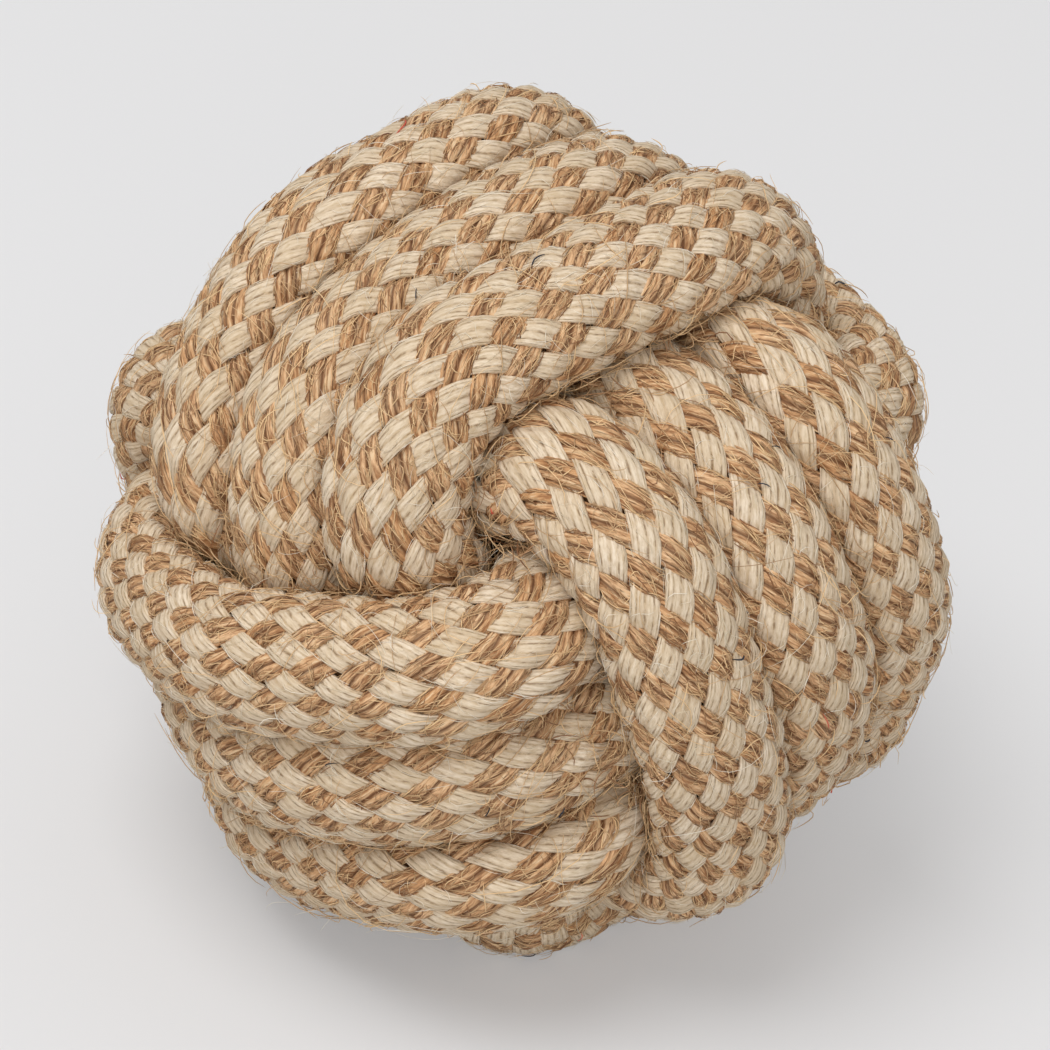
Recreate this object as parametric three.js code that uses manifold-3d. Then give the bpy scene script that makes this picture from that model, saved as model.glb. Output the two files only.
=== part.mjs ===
import * as THREE from 'three';
import { mergeVertices } from 'three/addons/utils/BufferGeometryUtils.js';
import Module from 'manifold-3d';

// Rope dog toy: one length of braided rope, pressed oval by tying, in a ball-shaped knot
// round a rubber ball. Three bands of turns lie square to each other, and each band passes
// over one of the others and under the next. Millimetres, +Z up, standing on z = 0.

// Driving dimensions
const ropeWidth = 14;
const ropeThickness = 10.6;
const sheathWall = 2.6;
const fillerClearance = 0.4;
const turnClearance = 1.2;
const coreDiameter = 42;
const coreClearance = 0.4;
const roundingAllowance = 3;
const sealLength = 2;
const sealChamfer = 0.7;
const sealClearance = 0.3;
const cutOverrun = 1;

// How the knot is wound and how it stands, in turns, points and degrees
const turnsPerBand = 3;
const routePoints = 324;
const straightEndPoints = 3;
const turnOverPoints = 2;
const handoverAngle = 32;
const tuckAngle = 14;
const windingStepAngle = 8;
const standAngles = new THREE.Euler(degrees(8), degrees(-8), degrees(-130.5), 'XYZ');
const standFlatShare = 0.1;

// How the open winding is worked tight, as shares of the rope's own size
const openPitchShare = 1.5;
const openInnerShare = 1.9;
const openOuterShare = 3.9;
const sameTurnShare = 1.5;
const nearbyShare = 1.7;
const contactShare = 0.5;
const pairRefreshCount = 8;
const tighteningStages = [
  { roundCount: 160, tension: 0.35, stiffness: 0.04, squeeze: 0.016, contactCount: 2, rounded: false },
  { roundCount: 160, tension: 0.3, stiffness: 0.04, squeeze: 0.009, contactCount: 3, rounded: true },
  { roundCount: 80, tension: 0.03, stiffness: 0.02, squeeze: 0, contactCount: 5, rounded: true },
  { roundCount: 60, tension: 0, stiffness: 0.01, squeeze: 0, contactCount: 10, rounded: false },
];

// Facets
const ringCount = 244;
const samplesPerRing = 4;
const curveSamplesPerPoint = 8;
const bendWeightShare = 0.6;
const sheathSides = 8;
const fillerSides = 5;
const coreSegments = 24;
const coreRings = 16;

const coreRadius = coreDiameter / 2;
const contactHalfWidth = (ropeWidth + turnClearance) / 2;
const contactHalfThickness = (ropeThickness + turnClearance) / 2;
const lowestRadius = coreRadius + coreClearance + ropeThickness / 2;
const highestRadius = lowestRadius + ropeThickness + roundingAllowance;
const ropeDiameter = (ropeWidth + ropeThickness) / 2;
const boreWidth = ropeWidth - 2 * sheathWall;
const boreThickness = ropeThickness - 2 * sheathWall;
const fillerWidth = boreWidth - 2 * fillerClearance;
const fillerThickness = boreThickness - 2 * fillerClearance;

const wasm = await Module();
wasm.setup();

function degrees(angle) {
  return THREE.MathUtils.degToRad(angle);
}

// One open band of turns round the core, high where it crosses its outer axis
// and low where it crosses its inner axis
function openBand(outerAxis, innerAxis, sideAxis, fromAngle, toAngle) {
  const low = coreRadius + openInnerShare * ropeThickness;
  const high = coreRadius + openOuterShare * ropeThickness;
  const pitch = openPitchShare * ropeWidth;
  const middle = (fromAngle + toAngle) / 2;
  const steps = Math.round(Math.abs(toAngle - fromAngle) / windingStepAngle);
  const points = [];
  for (let i = 0; i <= steps; i += 1) {
    const angle = fromAngle + ((toAngle - fromAngle) * i) / steps;
    const alongOuter = Math.cos(degrees(angle));
    const alongInner = Math.sin(degrees(angle));
    const radius = low + (high - low) * alongOuter * alongOuter;
    const point = new THREE.Vector3();
    point.setComponent(outerAxis, radius * alongOuter);
    point.setComponent(innerAxis, radius * alongInner);
    point.setComponent(sideAxis, (pitch * (angle - middle)) / 360);
    points.push(point);
  }
  return points;
}

// The whole rope before it is worked tight. It starts under the second band,
// hands over from band to band at two edges, and ends under the first band.
function openRoute() {
  const laterTurns = 360 * (turnsPerBand - 1);
  const start = laterTurns + 270 + tuckAngle;
  const end = -laterTurns - 90 - tuckAngle;
  const entry = 180 + handoverAngle;
  return [
    ...openBand(0, 1, 2, start, -handoverAngle),
    ...openBand(1, 2, 0, entry, -laterTurns - handoverAngle),
    ...openBand(2, 0, 1, entry, end),
  ];
}

// The same line with its points at even steps
function evenly(points, count) {
  const reach = [0];
  for (let i = 1; i < points.length; i += 1) {
    reach.push(reach[i - 1] + points[i].distanceTo(points[i - 1]));
  }
  const total = reach[reach.length - 1];
  const result = [];
  let segment = 0;
  for (let i = 0; i < count; i += 1) {
    const target = (total * i) / (count - 1);
    while (segment < points.length - 2 && reach[segment + 1] < target) {
      segment += 1;
    }
    const share = (target - reach[segment]) / (reach[segment + 1] - reach[segment]);
    result.push(points[segment].clone().lerp(points[segment + 1], share));
  }
  return { points: result, step: total / (count - 1) };
}

// A direction turned square to the rope
function squareTo(along, direction) {
  return direction.clone().addScaledVector(along, -direction.dot(along)).normalize();
}

// The rope lies flat on the ball: its thin way points out from the middle, its wide way across,
// and it turns over slowly where it dives
function sectionAxes(points) {
  const last = points.length - 1;
  const alongs = points.map((point, i) => {
    return points[Math.min(i + 1, last)].clone().sub(points[Math.max(i - 1, 0)]).normalize();
  });
  const steep = points.map((point, i) => squareTo(alongs[i], point));
  return points.map((point, i) => {
    const mean = new THREE.Vector3();
    for (let k = -turnOverPoints; k <= turnOverPoints; k += 1) {
      mean.add(steep[Math.min(Math.max(i + k, 0), last)]);
    }
    const along = alongs[i];
    const out = squareTo(along, mean);
    return { along, out, across: along.clone().cross(out) };
  });
}

// How far the rope's oval reaches from its centreline in a direction
function reachOf(axes, x, y, z) {
  const { out, across } = axes;
  const thin = contactHalfThickness * (x * out.x + y * out.y + z * out.z);
  const wide = contactHalfWidth * (x * across.x + y * across.y + z * across.z);
  return Math.sqrt(thin * thin + wide * wide);
}

// Pairs of points of different turns that are close enough to touch soon
function nearbyPairs(points, step) {
  const apart = Math.ceil((sameTurnShare * ropeWidth) / step);
  const near = nearbyShare * ropeWidth;
  const pairs = [];
  for (let i = 0; i < points.length; i += 1) {
    for (let j = i + apart; j < points.length; j += 1) {
      if (points[i].distanceToSquared(points[j]) < near * near) {
        pairs.push([i, j]);
      }
    }
  }
  return pairs;
}

// Turns that press into each other are pushed apart and off the core,
// and a turn that stands too far out is pressed half of the way back
function pushApart(points, pairs, rounded) {
  const axes = sectionAxes(points);
  const moves = points.map(() => new THREE.Vector3());
  const touches = points.map(() => 0);
  const gap = new THREE.Vector3();
  for (const [i, j] of pairs) {
    gap.subVectors(points[i], points[j]);
    const distance = gap.length();
    gap.divideScalar(distance);
    const needed = reachOf(axes[i], gap.x, gap.y, gap.z) + reachOf(axes[j], gap.x, gap.y, gap.z);
    if (distance < needed) {
      moves[i].addScaledVector(gap, needed - distance);
      moves[j].addScaledVector(gap, distance - needed);
      touches[i] += 1;
      touches[j] += 1;
    }
  }
  points.forEach((point, i) => {
    point.addScaledVector(moves[i], contactShare / Math.max(touches[i] * contactShare, 1));
    const radius = point.length();
    if (radius < lowestRadius) {
      point.setLength(lowestRadius);
    } else if (rounded && radius > highestRadius) {
      point.setLength((radius + highestRadius) / 2);
    }
  });
}

// How far a point's two neighbours together lie off it
function bendAt(points, i) {
  return points[i - 1].clone().add(points[i + 1]).addScaledVector(points[i], -2);
}

// One round of working the knot tight: each point moves in between its neighbours,
// kinks are eased out, and the ball is squeezed towards its middle
function pullTight(points, stage) {
  const last = points.length - 1;
  return points.map((point, i) => {
    const result = point.clone();
    if (i > 0 && i < last) {
      result.addScaledVector(bendAt(points, i), stage.tension / 2);
    }
    if (i > 1 && i < last - 1) {
      const kink = bendAt(points, i - 1).add(bendAt(points, i + 1));
      kink.addScaledVector(bendAt(points, i), -2);
      result.addScaledVector(kink, -stage.stiffness);
    }
    return result.addScaledVector(point, (-stage.squeeze * ropeThickness) / point.length());
  });
}

// The rope's two ends lie straight, under the turns that hold them
function straightenEnds(points) {
  const ends = [points.slice(0, straightEndPoints + 1), points.slice(-straightEndPoints - 1)];
  for (const end of ends) {
    end.forEach((point, i) => point.lerpVectors(end[0], end[straightEndPoints], i / straightEndPoints));
  }
}

function tightRoute() {
  let points = openRoute();
  let pairs = [];
  for (const stage of tighteningStages) {
    for (let round = 0; round < stage.roundCount; round += 1) {
      const even = evenly(points, routePoints);
      if (round % pairRefreshCount === 0) {
        pairs = nearbyPairs(even.points, even.step);
      }
      points = pullTight(even.points, stage);
      for (let contact = 0; contact < stage.contactCount; contact += 1) {
        pushApart(points, pairs, stage.rounded);
        straightenEnds(points);
      }
    }
  }
  return points.map((point) => point.applyEuler(standAngles));
}

// Stations along the rope between its two seals, closer together where it bends
function ropeStations(curve, length) {
  const fine = ringCount * samplesPerRing;
  const reach = [0];
  let before = curve.getTangentAt(0);
  for (let i = 1; i <= fine; i += 1) {
    const tangent = curve.getTangentAt(i / fine);
    const bend = tangent.angleTo(before) * ropeDiameter * bendWeightShare;
    reach.push(reach[i - 1] + length / fine + bend);
    before = tangent;
  }
  const stations = [];
  const first = (sealLength + sealClearance) / length;
  const span = 1 - 2 * first;
  let k = 0;
  for (let i = 0; i < ringCount; i += 1) {
    const target = (reach[fine] * i) / (ringCount - 1);
    while (k < fine - 1 && reach[k + 1] < target) {
      k += 1;
    }
    const share = (k + (target - reach[k]) / (reach[k + 1] - reach[k])) / fine;
    stations.push(first + span * share);
  }
  return stations;
}

function frameAt(curve, outs, share) {
  const centre = curve.getPointAt(share);
  const along = curve.getTangentAt(share);
  const place = share * (outs.length - 1);
  const before = Math.min(Math.floor(place), outs.length - 2);
  const out = squareTo(along, outs[before].clone().lerp(outs[before + 1], place - before));
  return { centre, along, out, across: along.clone().cross(out) };
}

// A frame moved along its own direction
function slidFrame(frame, distance) {
  return { ...frame, centre: frame.centre.clone().addScaledVector(frame.along, distance) };
}

// A ring of points round an oval, flat on its widest sides where their count is even
function ovalRing(frame, width, thickness, sides) {
  const ring = [];
  for (let i = 0; i < sides; i += 1) {
    const angle = degrees((360 * (i + 1 / 2)) / sides);
    const point = frame.centre.clone();
    point.addScaledVector(frame.out, (thickness / 2) * Math.cos(angle));
    point.addScaledVector(frame.across, (width / 2) * Math.sin(angle));
    ring.push(point);
  }
  return ring;
}

function manifoldOf(vertices, triangles) {
  return new wasm.Manifold(new wasm.Mesh({
    numProp: 3,
    vertProperties: new Float32Array(vertices),
    triVerts: new Uint32Array(triangles),
  }));
}

// A closed solid through rings of points
function solidThrough(rings) {
  const sides = rings[0].length;
  const triangles = [];
  for (let k = 0; k < rings.length - 1; k += 1) {
    for (let i = 0; i < sides; i += 1) {
      const a = k * sides + i;
      const b = k * sides + ((i + 1) % sides);
      triangles.push(a, b, a + sides);
      triangles.push(b, b + sides, a + sides);
    }
  }
  const end = (rings.length - 1) * sides;
  for (let i = 1; i < sides - 1; i += 1) {
    triangles.push(0, i + 1, i);
    triangles.push(end, end + i, end + i + 1);
  }
  return manifoldOf(rings.flat().flatMap((point) => point.toArray()), triangles);
}

// A tube along the rope, longer than it by the overrun at both ends
function tube(frames, width, thickness, sides, overrun) {
  const rings = frames.map((frame) => ovalRing(frame, width, thickness, sides));
  if (overrun > 0) {
    const last = frames.length - 1;
    rings.unshift(ovalRing(slidFrame(frames[0], -overrun), width, thickness, sides));
    rings.push(ovalRing(slidFrame(frames[last], overrun), width, thickness, sides));
  }
  return solidThrough(rings);
}

// The seal on an end of the rope, a short plug in line with it, chamfered at its far end
function endSeal(frame, direction) {
  const near = slidFrame(frame, direction * sealClearance);
  const rim = slidFrame(near, direction * (sealLength - sealChamfer));
  const far = slidFrame(near, direction * sealLength);
  const rings = [
    ovalRing(near, ropeWidth, ropeThickness, sheathSides),
    ovalRing(rim, ropeWidth, ropeThickness, sheathSides),
    ovalRing(far, ropeWidth - 2 * sealChamfer, ropeThickness - 2 * sealChamfer, sheathSides),
  ];
  return solidThrough(direction > 0 ? rings : rings.reverse());
}

// Everything below the floor, a block larger than the toy
function belowFloor(size) {
  const block = new THREE.BoxGeometry(2 * size, 2 * size, size);
  block.translate(0, 0, -size / 2);
  block.deleteAttribute('normal');
  block.deleteAttribute('uv');
  const closed = mergeVertices(block);
  return manifoldOf(closed.attributes.position.array, closed.index.array);
}

// Least gap between facets of different turns, from points on the edges along the rope
// to the facets of the other turns
function leastSelfGap(rings, frames, stations, length) {
  const apart = (sameTurnShare * ropeWidth) / length;
  const near = 2 * ropeWidth;
  const triangle = new THREE.Triangle();
  const nearest = new THREE.Vector3();
  let least = Infinity;
  for (let i = 0; i < rings.length - 1; i += 1) {
    const samples = rings[i].flatMap((point, a) => [point, point.clone().lerp(rings[i + 1][a], 1 / 2)]);
    for (let j = 0; j < rings.length - 1; j += 1) {
      const sameTurn = Math.abs(stations[i] - stations[j]) < apart;
      if (sameTurn || frames[i].centre.distanceTo(frames[j].centre) > near) {
        continue;
      }
      for (let b = 0; b < sheathSides; b += 1) {
        const c = (b + 1) % sheathSides;
        const facets = [
          [rings[j][b], rings[j][c], rings[j + 1][b]],
          [rings[j][c], rings[j + 1][c], rings[j + 1][b]],
        ];
        for (const corners of facets) {
          triangle.set(...corners);
          for (const point of samples) {
            triangle.closestPointToPoint(point, nearest);
            least = Math.min(least, nearest.distanceTo(point));
          }
        }
      }
    }
  }
  return least;
}

function namedMesh(name, geometry, materialName, colour, roughness) {
  const material = new THREE.MeshStandardMaterial({ name: materialName, color: colour, roughness });
  const mesh = new THREE.Mesh(geometry, material);
  mesh.name = name;
  return mesh;
}

function geometryOf(solid) {
  const mesh = solid.getMesh();
  const geometry = new THREE.BufferGeometry();
  geometry.setAttribute('position', new THREE.BufferAttribute(mesh.vertProperties, 3));
  geometry.setIndex(new THREE.BufferAttribute(mesh.triVerts, 1));
  return geometry;
}

// The rope's centreline, and its rings
const route = tightRoute();
const curve = new THREE.CatmullRomCurve3(route, false, 'centripetal');
curve.arcLengthDivisions = routePoints * curveSamplesPerPoint;
const ropeLength = curve.getLength();
const stations = ropeStations(curve, ropeLength);
const outs = sectionAxes(route).map((axes) => axes.out);
const frames = stations.map((share) => frameAt(curve, outs, share));
const outerRings = frames.map((frame) => ovalRing(frame, ropeWidth, ropeThickness, sheathSides));
console.log(`rope length ${ropeLength.toFixed(0)} mm`);
const selfGap = leastSelfGap(outerRings, frames, stations, ropeLength);
console.log(`least gap of the rope to itself ${selfGap.toFixed(2)} mm`);

// The ball stands on flats as deep as a share of the rope's diameter, its middle over the origin
const extent = new THREE.Box3().setFromPoints(outerRings.flat());
const middle = extent.getCenter(new THREE.Vector3());
const floorHeight = extent.min.z + standFlatShare * ropeDiameter;
const toFloor = [-middle.x, -middle.y, -floorHeight];
const floorBlock = belowFloor(2 * (extent.max.z - extent.min.z));

const bore = tube(frames, boreWidth, boreThickness, fillerSides, cutOverrun);
const wall = tube(frames, ropeWidth, ropeThickness, sheathSides, 0);
const sheath = wall.subtract(bore).translate(toFloor).subtract(floorBlock);
const filler = tube(frames, fillerWidth, fillerThickness, fillerSides, 0).translate(toFloor);
const startSeal = endSeal(frames[0], -1).translate(toFloor);
const finishSeal = endSeal(frames[ringCount - 1], 1).translate(toFloor);
const coreBall = new THREE.SphereGeometry(coreRadius, coreSegments, coreRings);
coreBall.translate(...toFloor);

const model = new THREE.Group();
model.name = 'rope_ball';
model.add(
  namedMesh('rope_sheath', geometryOf(sheath), 'cotton_and_jute_braid', 0xcbb592, 0.95),
  namedMesh('rope_filler', geometryOf(filler), 'cotton_filler_yarn', 0xd8ccb4, 0.95),
  namedMesh('core_ball', coreBall, 'natural_rubber', 0x6f4a2e, 0.6),
  namedMesh('start_end_seal', geometryOf(startSeal), 'start_end_glue', 0xb9975f, 0.5),
  namedMesh('finish_end_seal', geometryOf(finishSeal), 'finish_end_glue', 0xb9975f, 0.5),
);
export default model;
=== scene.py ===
import math

import bpy
import numpy as np
from mathutils import Matrix, Vector


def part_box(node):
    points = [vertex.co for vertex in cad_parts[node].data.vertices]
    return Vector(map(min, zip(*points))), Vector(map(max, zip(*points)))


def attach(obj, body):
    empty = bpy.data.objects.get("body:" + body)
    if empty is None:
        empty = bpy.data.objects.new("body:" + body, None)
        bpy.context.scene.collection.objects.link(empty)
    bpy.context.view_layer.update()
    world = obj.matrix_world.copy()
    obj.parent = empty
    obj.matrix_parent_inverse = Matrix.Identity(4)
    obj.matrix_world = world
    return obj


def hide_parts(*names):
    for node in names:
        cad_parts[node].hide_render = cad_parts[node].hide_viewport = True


# Rope dog toy: the braided rope of the ball-shaped knot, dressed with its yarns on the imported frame.
# The knot's route is worked tight with the same values as in the part's source, in millimetres
# round the middle of the ball, and goes into the scene in metres, round the frame's core ball.

MM = 0.001

# The rope and the knot, as in the part's source: lengths in millimetres, angles in degrees
ROPE_WIDTH = 14.0
ROPE_THICKNESS = 10.6
TURN_CLEARANCE = 1.2
CORE_DIAMETER = 42.0
CORE_CLEARANCE = 0.4
ROUNDING_ALLOWANCE = 3.0
TURNS_PER_BAND = 3
ROUTE_POINTS = 324
STRAIGHT_END_POINTS = 3
TURN_OVER_POINTS = 2
HANDOVER_ANGLE = 32
TUCK_ANGLE = 14
WINDING_STEP_ANGLE = 8
STAND_ANGLES = (8, -8, -130.5)
QUARTER_TURN = 90
HALF_TURN = 180
FULL_TURN = 360
OPEN_PITCH_SHARE = 1.5
OPEN_INNER_SHARE = 1.9
OPEN_OUTER_SHARE = 3.9
SAME_TURN_SHARE = 1.5
NEARBY_SHARE = 1.7
CONTACT_SHARE = 0.5
PAIR_REFRESH_COUNT = 8
TIGHTENING_STAGES = (
    {"rounds": 160, "tension": 0.35, "stiffness": 0.04, "squeeze": 0.016, "contacts": 2, "rounded": False},
    {"rounds": 160, "tension": 0.3, "stiffness": 0.04, "squeeze": 0.009, "contacts": 3, "rounded": True},
    {"rounds": 80, "tension": 0.03, "stiffness": 0.02, "squeeze": 0.0, "contacts": 5, "rounded": True},
    {"rounds": 60, "tension": 0.0, "stiffness": 0.01, "squeeze": 0.0, "contacts": 10, "rounded": False},
)

# The braid, in millimetres: as many bundles lean one way as the other, and they cross at even steps
# along the rope. The slope share is how much of the bundles' spacing round the rope the cotton
# climbs to one side in a step, while the jute climbs the rest to the other. The steepness is about
# what a step along the rope measures against that spacing
BUNDLES = 11
CROSSING = 2.68
COTTON_SLOPE_SHARE = 0.48
BRAID_STEEPNESS = 0.78
BRAID_HALF_WIDTH = 7.05
BRAID_HALF_THICKNESS = 5.25
WAVE_HEIGHT = 0.42
ENVELOPE_HEIGHT = 0.9
FINE_STATIONS_PER_POINT = 8
OVAL_STEPS = 720

# Bundles of yarn. Reach and width are shares of a crossing. Pinch is the share of its width that a
# bundle loses towards its ends, unevenness how much its fullness varies, and skew about how many
# radians it lies askew. Dome, lift, groove, shift and fray are in millimetres. Wrap and squareness
# shape the section
COTTON = {
    "name": "cotton", "first_step": 2, "yarns": 8, "steps_per_yarn": 2,
    "reach_share": 0.76, "width_share": 0.98, "pinch_share": 0.1, "unevenness": 0.055, "skew": 0.05,
    "dome": 0.5, "lift": 0.05, "groove": 0.08, "shift": 0.1, "fray": 0.03,
    "wrap": 1.12, "squareness": 2.9,
}
JUTE = {
    "name": "jute", "first_step": 3, "yarns": 4, "steps_per_yarn": 4,
    "reach_share": 0.74, "width_share": 0.95, "pinch_share": 0.06, "unevenness": 0.09, "skew": 0.09,
    "dome": 0.46, "lift": -0.04, "groove": 0.24, "shift": 0.14, "fray": 0.07,
    "wrap": 1.12, "squareness": 2.3,
}
STEPS_ALONG_CELL = 9
CELLS_PER_PIECE = 400
UNDER_SHARE = 0.6
UNDER_DEPTH = 0.25
BUMP_SHARE = 0.7
STREAK_ROUNDS = 2
MAP_MARGIN = 0.04

# How much each length of bundle, each yarn and each whole bundle differ in tint, and how far the
# yarn's pattern may be shifted from one length to the next, in millimetres
LENGTH_TINT = 0.6
YARN_TINT = 0.5
BUNDLE_TINT = 0.4
PATTERN_SHIFT = 90

# The yarn below the braid, seen in the gaps: lengths in millimetres
INNER_SIDES = 20
INNER_STEP = 2.2
INNER_DEPTH = 0.55

# Loose fibres: how many there are, their length and how far a free end rises in millimetres, how
# much they favour the valleys, and their least and greatest radius in millimetres and tint. Cotton
# fibres are about 0.02 mm thick and jute fibres about 0.05 mm, too fine to show, so cotton is drawn
# 2 to 4 times as thick and jute up to 4 times. The lint threads are about as thick as sewing thread
LYING_JUTE = {"per_cell": 24, "radii": (0.03, 0.085), "tints": (0.0, 1.0)}
LYING_COTTON = {"per_cell": 6, "radii": (0.02, 0.04), "tints": (0.0, 1.0)}
STRAY_JUTE = {
    "count": 13000, "length": 4.5, "rise": 0.3, "favour": 4.0,
    "radii": (0.035, 0.075), "tints": (0.45, 1.0),
}
VALLEY_JUTE = {
    "count": 5500, "length": 3.2, "rise": 0.9, "favour": 300.0,
    "radii": (0.03, 0.06), "tints": (0.2, 1.0),
}
STRAY_COTTON = {
    "count": 3500, "length": 3.0, "rise": 0.5, "favour": 2.0,
    "radii": (0.02, 0.04), "tints": (0.3, 1.0),
}
GAP_JUTE = {
    "count": 7000, "tries": 60000, "depths": (27.0, 41.5), "length": 3.5,
    "radii": (0.04, 0.09), "tints": (0.0, 0.8),
}
DARK_THREADS = {
    "count": 120, "length": 1.4, "rise": 0.1, "favour": 1.0,
    "radii": (0.07, 0.13), "tints": (0.0, 1.0),
}
RED_FLECKS = {
    "count": 16, "length": 1.2, "rise": 0.1, "favour": 1.0,
    "radii": (0.07, 0.12), "tints": (0.0, 1.0),
}
FIBRES_PER_PIECE = 5000
LEAST_FIBRE_OPENNESS = 0.08
FIBRE_SIDES = 3
TAPER_SHARE = 0.7
TAPER_POWER = 3
NOT_ZERO = 1e-6

# How a fibre lies on its bundle: start, run and sideways places as shares of a crossing, and how far
# it and its free end lift off, in millimetres
LYING_STEPS = 5
LYING_START = (-0.6, 0.2)
LYING_RUN = (0.35, 0.9)
LYING_ACROSS = 0.85
LYING_SWAY = 0.45
LYING_BOW = 0.2
LYING_LIFT = (0.02, 0.12)
LYING_FREE_END = 0.12

# How a fibre strays: lengths and heights in millimetres, headings in radians. It climbs out of the
# braid over the first part of its length
STRAY_STEPS = 7
STRAY_LENGTH_SPREAD = 0.5
STRAY_LENGTH_LIMITS = (1, 15)
STRAY_HEADING = 0.8
STRAY_BEND = 1.3
STRAY_ROOT_HEIGHT = 0.35
STRAY_CLIMB = 0.6
STRAY_CLIMB_PARTS = 4
STRAY_ARCH = 0.3
VALLEY_POWER = 4

# How a fibre in a gap curls, and how its length varies
GAP_OUTWARD_LEAN = 0.6
GAP_LENGTH_RANGE = (0.5, 1.5)
GAP_CURL = 1.2

# The grid that tells which places see out of the ball, in millimetres: what blocks the view is the
# rope drawn a little thinner, and a look starts above the braid and ends outside the ball
VOXEL = 1.0
MARGIN_VOXELS = 2
SECTION_SAMPLES = 17
BLOCKING_SHARE = 0.86
LOOK_START = 1.5
LOOK_LENGTH = 46.0
LOOK_DIRECTIONS = 64
LEAST_FACING = 0.05

# How softly yarn that reaches the table flattens there, in metres
FLOOR_SOFTNESS = 0.0005

# The view: angles in degrees, lengths in metres, and where the ball's middle lies in the square image
CAMERA_ELEVATION = 33.0
CAMERA_AZIMUTH = 2.0
CAMERA_ROLL = -7.0
CAMERA_DISTANCE = 0.45
CAMERA_NEAR = 0.01
FOCAL_PIXELS = 4040
IMAGE_PIXELS = 1050
BALL_X_PIXEL = 522
BALL_Y_PIXEL = 529
SENSOR_WIDTH = 36

# The studio: a wide table, a pale world, both brighter where they are only looked at, and two round
# panels, each given by where it hangs from the ball's middle, its width in metres and its power. The
# table's grey has painted shade: a little darker towards the front, where the panels light it more. It
# goes over from one grey to the other between two places along Y, in metres
TABLE_HALF = 3.0
TABLE_SHADING = (-0.04, 0.1)
TABLE_GLOW = 0.4
WORLD_STRENGTH = 0.55
SEEN_WORLD_STRENGTH = 0.78
PANELS = {
    "sky_panel": {"away": (-0.35, -0.4, 1.2), "width": 0.8, "watts": 8.5},
    "front_panel": {"away": (0.1, -1.4, 0.5), "width": 1.3, "watts": 7.0},
}

# Streaks to a millimetre across and along the yarns, how far they lean in radians, and how fine the
# noise in them is. Cotton fibres are about 0.02 mm wide and jute fibres about 0.05 mm, too fine to
# show, so the streaks are drawn 0.2 mm wide or more
COTTON_FLUFF = {"across": 5.0, "along": 1.2, "lean": 0.12, "detail": 4.0}
COTTON_BREAKS = {"across": 3.0, "along": 1.1, "lean": -0.04, "detail": 3.0}
JUTE_FIBRES = {"across": 5.0, "along": 0.6, "lean": 0.2, "detail": 4.0}
JUTE_SPLITS = {"across": 4.0, "along": 0.5, "lean": 0.1, "detail": 3.0}
INNER_STRANDS = {"across": 2.0, "along": 0.4, "lean": 0.0, "detail": 3.0}
TINT_RANGE = (-1.6, 1.6)

# A colour mix has sockets for numbers too, so its colours are given by their places
MIX_SHARE = 0
MIX_UNDER = 6
MIX_OVER = 7
MIX_COLOUR = 2

SEED = 7


def unit(vectors):
    return vectors / np.linalg.norm(vectors, axis=-1, keepdims=True)


def square_to(along, directions):
    shared = np.sum(along * directions, axis=-1, keepdims=True)
    return unit(directions - along * shared)


# One open band of turns round the core, high where it crosses its outer axis
def open_band(outer_axis, inner_axis, side_axis, from_angle, to_angle):
    low = CORE_DIAMETER / 2 + OPEN_INNER_SHARE * ROPE_THICKNESS
    high = CORE_DIAMETER / 2 + OPEN_OUTER_SHARE * ROPE_THICKNESS
    pitch = OPEN_PITCH_SHARE * ROPE_WIDTH
    middle = (from_angle + to_angle) / 2
    steps = int(abs(to_angle - from_angle) / WINDING_STEP_ANGLE + 0.5)
    angle = from_angle + (to_angle - from_angle) * np.arange(steps + 1) / steps
    along_outer = np.cos(np.radians(angle))
    radius = low + (high - low) * along_outer**2
    points = np.zeros((steps + 1, 3))
    points[:, outer_axis] = radius * along_outer
    points[:, inner_axis] = radius * np.sin(np.radians(angle))
    points[:, side_axis] = pitch * (angle - middle) / FULL_TURN
    return points


# The whole rope before it is worked tight
def open_route():
    later_turns = FULL_TURN * (TURNS_PER_BAND - 1)
    start = later_turns + HALF_TURN + QUARTER_TURN + TUCK_ANGLE
    end = -later_turns - QUARTER_TURN - TUCK_ANGLE
    entry = HALF_TURN + HANDOVER_ANGLE
    return np.concatenate([
        open_band(0, 1, 2, start, -HANDOVER_ANGLE),
        open_band(1, 2, 0, entry, -later_turns - HANDOVER_ANGLE),
        open_band(2, 0, 1, entry, end),
    ])


# The same line with its points at even steps, and how long a step is
def evenly(points, count):
    steps = np.linalg.norm(np.diff(points, axis=0), axis=1)
    reach = np.concatenate([[0.0], np.cumsum(steps)])
    targets = reach[-1] * np.arange(count) / (count - 1)
    even = np.stack([np.interp(targets, reach, points[:, k]) for k in range(3)], axis=1)
    return even, reach[-1] / (count - 1)


# The rope lies flat on the ball and turns over slowly where it dives
def section_axes(points):
    last = len(points) - 1
    index = np.arange(last + 1)
    along = unit(points[np.minimum(index + 1, last)] - points[np.maximum(index - 1, 0)])
    steep = square_to(along, points)
    mean = np.zeros_like(points)
    for k in range(-TURN_OVER_POINTS, TURN_OVER_POINTS + 1):
        mean += steep[np.clip(index + k, 0, last)]
    out = square_to(along, mean)
    return along, out, np.cross(along, out)


# Points of different turns that may come to touch
def nearby_pairs(points, step):
    apart = math.ceil(SAME_TURN_SHARE * ROPE_WIDTH / step)
    first, second = np.triu_indices(len(points), apart)
    near = np.sum((points[first] - points[second]) ** 2, axis=1) < (NEARBY_SHARE * ROPE_WIDTH) ** 2
    return first[near], second[near]


# How far the rope's oval section reaches in a direction, with half the clearance
def reach_of(out, across, direction):
    thin = (ROPE_THICKNESS + TURN_CLEARANCE) / 2 * np.sum(direction * out, axis=1)
    wide = (ROPE_WIDTH + TURN_CLEARANCE) / 2 * np.sum(direction * across, axis=1)
    return np.sqrt(thin**2 + wide**2)


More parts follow.
